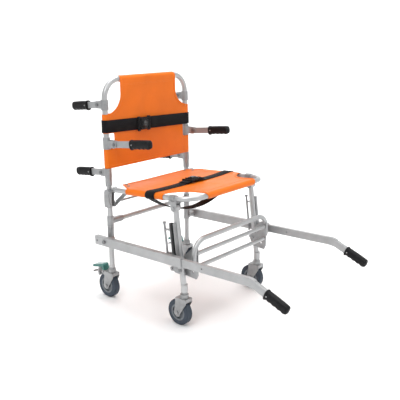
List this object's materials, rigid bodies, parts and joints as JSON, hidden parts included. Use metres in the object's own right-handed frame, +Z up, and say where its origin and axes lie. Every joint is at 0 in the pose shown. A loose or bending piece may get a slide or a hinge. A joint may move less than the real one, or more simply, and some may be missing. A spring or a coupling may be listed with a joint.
{
  "type": "stair chair",
  "caption": "Folding evacuation stair chair with orange seat and back covers, black straps, fold-out lift handles, telescoping front handles and braked swivel casters.",
  "frame": {"origin": "on the floor, under the middle of the whole chair", "axes": "+Z up; the chair faces -Y; +X towards the seated person's left; X = 0 is the plane of symmetry"},
  "size_m": [0.578, 1.098, 0.9185],
  "materials": {
    "frame_tube": "satin",
    "bracket": "satin",
    "bolt": "satin",
    "orange_cover": "semi-gloss vinyl",
    "webbing": "matt woven",
    "buckle": "matt",
    "handle_bar": "satin",
    "grip": "matt",
    "rail": "satin",
    "pedal": "semi-gloss",
    "fork": "satin",
    "hub": "matt",
    "tyre": "matt"
  },
  "bodies": {
    "upright_frame": {"back_frame": "frame_tube", "rear_leg_left": "frame_tube", "rear_leg_right": "frame_tube", "rear_cross_tube": "frame_tube", "leg_sleeves": "bracket", "seat_hinge_brackets": "bracket", "rear_handle_brackets": "bracket", "arm_handle_brackets": "bracket", "frame_bolts": "bolt", "back_panel": "orange_cover", "chest_strap": "webbing", "chest_buckle": "buckle"},
    "chest_button": {"chest_buckle_button": "buckle"},
    "seat": {"seat_frame": "frame_tube", "seat_leg_brackets": "bracket", "seat_panel": "orange_cover", "seat_strap": "webbing", "seat_buckle": "buckle"},
    "seat_button": {"seat_buckle_button": "buckle"},
    "fold_lock": {"fold_lock": "bracket"},
    "front_legs": {"front_leg_left": "frame_tube", "front_leg_right": "frame_tube", "leg_stays": "bracket"},
    "footrest": {"footrest_frame": "frame_tube", "footrest_plates": "bracket"},
    "rail_left": {"rail_left": "rail"},
    "extension_left": {"extension_left": "rail", "front_grip_left": "grip"},
    "rail_lock_left": {"rail_lock_left": "bolt"},
    "arm_handle_left": {"arm_handle_left": "handle_bar", "arm_grip_left": "grip"},
    "upper_handle_left": {"upper_handle_left": "handle_bar", "upper_grip_left": "grip"},
    "lower_handle_left": {"lower_handle_left": "handle_bar", "lower_grip_left": "grip"},
    "caster_rear_left": {"fork_rear_left": "fork"},
    "wheel_rear_left": {"hub_rear_left": "hub", "tyre_rear_left": "tyre"},
    "caster_front_left": {"fork_front_left": "fork"},
    "wheel_front_left": {"hub_front_left": "hub", "tyre_front_left": "tyre"},
    "pedal_left": {"brake_pedal_left": "pedal"},
    "rail_right": {"rail_right": "rail"},
    "extension_right": {"extension_right": "rail", "front_grip_right": "grip"},
    "rail_lock_right": {"rail_lock_right": "bolt"},
    "arm_handle_right": {"arm_handle_right": "handle_bar", "arm_grip_right": "grip"},
    "upper_handle_right": {"upper_handle_right": "handle_bar", "upper_grip_right": "grip"},
    "lower_handle_right": {"lower_handle_right": "handle_bar", "lower_grip_right": "grip"},
    "caster_rear_right": {"fork_rear_right": "fork"},
    "wheel_rear_right": {"hub_rear_right": "hub", "tyre_rear_right": "tyre"},
    "caster_front_right": {"fork_front_right": "fork"},
    "wheel_front_right": {"hub_front_right": "hub", "tyre_front_right": "tyre"},
    "pedal_right": {"brake_pedal_right": "pedal"}
  },
  "joints": [
    {"name": "seat_fold", "type": "hinge", "parent": "upright_frame", "child": "seat", "pos_m": [0, 0.326, 0.472], "axis": [-1, 0, 0], "range_deg": [0, 70]},
    {"name": "front_leg_fold", "type": "hinge", "parent": "seat", "child": "front_legs", "pos_m": [0, -0.016, 0.46], "axis": [1, 0, 0], "range_deg": [0, 70]},
    {"name": "lock_release", "type": "hinge", "parent": "seat", "child": "fold_lock", "pos_m": [0, 0.26214, 0.47624], "axis": [-1, 0, 0], "range_deg": [0, 30], "stiffness_Nm_per_rad": 1, "springref_deg": -22.92},
    {"name": "footrest_unfold", "type": "hinge", "parent": "front_legs", "child": "footrest", "pos_m": [0, -0.04442, 0.235], "axis": [1, 0, 0], "range_deg": [0, 75]},
    {"name": "rail_fold_left", "type": "hinge", "parent": "upright_frame", "child": "rail_left", "pos_m": [0.2745, 0.334, 0.261], "axis": [-1, 0, 0], "range_deg": [0, 63]},
    {"name": "extend_left", "type": "slide", "parent": "rail_left", "child": "extension_left", "axis": [0, -0.9996, 0.0279], "range_m": [0, 0.25]},
    {"name": "rail_unlock_left", "type": "slide", "parent": "rail_left", "child": "rail_lock_left", "axis": [0, -0.0279, -0.9996], "range_m": [0, 0.005], "stiffness_N_per_m": 400, "springref_m": -0.002},
    {"name": "arm_handle_fold_left", "type": "hinge", "parent": "upright_frame", "child": "arm_handle_left", "pos_m": [0.234, 0.30256, 0.658], "axis": [-1, 0, 0], "range_deg": [0, 88]},
    {"name": "upper_handle_fold_left", "type": "hinge", "parent": "upright_frame", "child": "upper_handle_left", "pos_m": [0.234, 0.3917, 0.80717], "axis": [-1, 0, 0], "range_deg": [0, 85]},
    {"name": "lower_handle_fold_left", "type": "hinge", "parent": "upright_frame", "child": "lower_handle_left", "pos_m": [0.234, 0.38602, 0.53622], "axis": [-1, 0, 0], "range_deg": [0, 85]},
    {"name": "swivel_rear_left", "type": "hinge", "parent": "upright_frame", "child": "caster_rear_left", "pos_m": [0.234, 0.348, 0.139], "axis": [0, 0, 1], "continuous": true},
    {"name": "roll_rear_left", "type": "hinge", "parent": "caster_rear_left", "child": "wheel_rear_left", "pos_m": [0.234, 0.37, 0.052], "axis": [1, 0, 0], "continuous": true},
    {"name": "swivel_front_left", "type": "hinge", "parent": "front_legs", "child": "caster_front_left", "pos_m": [0.234, -0.05655, 0.139], "axis": [0, 0, 1], "continuous": true},
    {"name": "roll_front_left", "type": "hinge", "parent": "caster_front_left", "child": "wheel_front_left", "pos_m": [0.234, -0.03455, 0.052], "axis": [1, 0, 0], "continuous": true},
    {"name": "brake_left", "type": "hinge", "parent": "caster_rear_left", "child": "pedal_left", "pos_m": [0.234, 0.386, 0.111], "axis": [-1, 0, 0], "range_deg": [0, 5], "stiffness_Nm_per_rad": 0.6, "springref_deg": -11.46},
    {"name": "rail_fold_right", "type": "hinge", "parent": "upright_frame", "child": "rail_right", "pos_m": [-0.2745, 0.334, 0.261], "axis": [-1, 0, 0], "range_deg": [0, 63]},
    {"name": "extend_right", "type": "slide", "parent": "rail_right", "child": "extension_right", "axis": [0, -0.9996, 0.0279], "range_m": [0, 0.25]},
    {"name": "rail_unlock_right", "type": "slide", "parent": "rail_right", "child": "rail_lock_right", "axis": [0, -0.0279, -0.9996], "range_m": [0, 0.005], "stiffness_N_per_m": 400, "springref_m": -0.002},
    {"name": "arm_handle_fold_right", "type": "hinge", "parent": "upright_frame", "child": "arm_handle_right", "pos_m": [-0.234, 0.30256, 0.658], "axis": [-1, 0, 0], "range_deg": [0, 88]},
    {"name": "upper_handle_fold_right", "type": "hinge", "parent": "upright_frame", "child": "upper_handle_right", "pos_m": [-0.234, 0.3917, 0.80717], "axis": [-1, 0, 0], "range_deg": [0, 85]},
    {"name": "lower_handle_fold_right", "type": "hinge", "parent": "upright_frame", "child": "lower_handle_right", "pos_m": [-0.234, 0.38602, 0.53622], "axis": [-1, 0, 0], "range_deg": [0, 85]},
    {"name": "swivel_rear_right", "type": "hinge", "parent": "upright_frame", "child": "caster_rear_right", "pos_m": [-0.234, 0.348, 0.139], "axis": [0, 0, 1], "continuous": true},
    {"name": "roll_rear_right", "type": "hinge", "parent": "caster_rear_right", "child": "wheel_rear_right", "pos_m": [-0.234, 0.37, 0.052], "axis": [1, 0, 0], "continuous": true},
    {"name": "swivel_front_right", "type": "hinge", "parent": "front_legs", "child": "caster_front_right", "pos_m": [-0.234, -0.05655, 0.139], "axis": [0, 0, 1], "continuous": true},
    {"name": "roll_front_right", "type": "hinge", "parent": "caster_front_right", "child": "wheel_front_right", "pos_m": [-0.234, -0.03455, 0.052], "axis": [1, 0, 0], "continuous": true},
    {"name": "brake_right", "type": "hinge", "parent": "caster_rear_right", "child": "pedal_right", "pos_m": [-0.234, 0.386, 0.111], "axis": [-1, 0, 0], "range_deg": [0, 5], "stiffness_Nm_per_rad": 0.6, "springref_deg": -11.46},
    {"name": "chest_release", "type": "slide", "parent": "upright_frame", "child": "chest_button", "axis": [0, 0.9998, -0.0209], "range_m": [0, 0.0015], "stiffness_N_per_m": 500, "springref_m": -0.001},
    {"name": "seat_release", "type": "slide", "parent": "seat", "child": "seat_button", "axis": [0, -0.0663, -0.9978], "range_m": [0, 0.0015], "stiffness_N_per_m": 500, "springref_m": -0.001}
  ],
  "couplings": [
    {"joint": "front_leg_fold", "follows": "seat_fold", "ratio": 1},
    {"joint": "rail_fold_left", "follows": "seat_fold", "ratio": 0.9},
    {"joint": "arm_handle_fold_left", "follows": "seat_fold", "ratio": 1.25},
    {"joint": "rail_fold_right", "follows": "seat_fold", "ratio": 0.9},
    {"joint": "arm_handle_fold_right", "follows": "seat_fold", "ratio": 1.25}
  ]
}
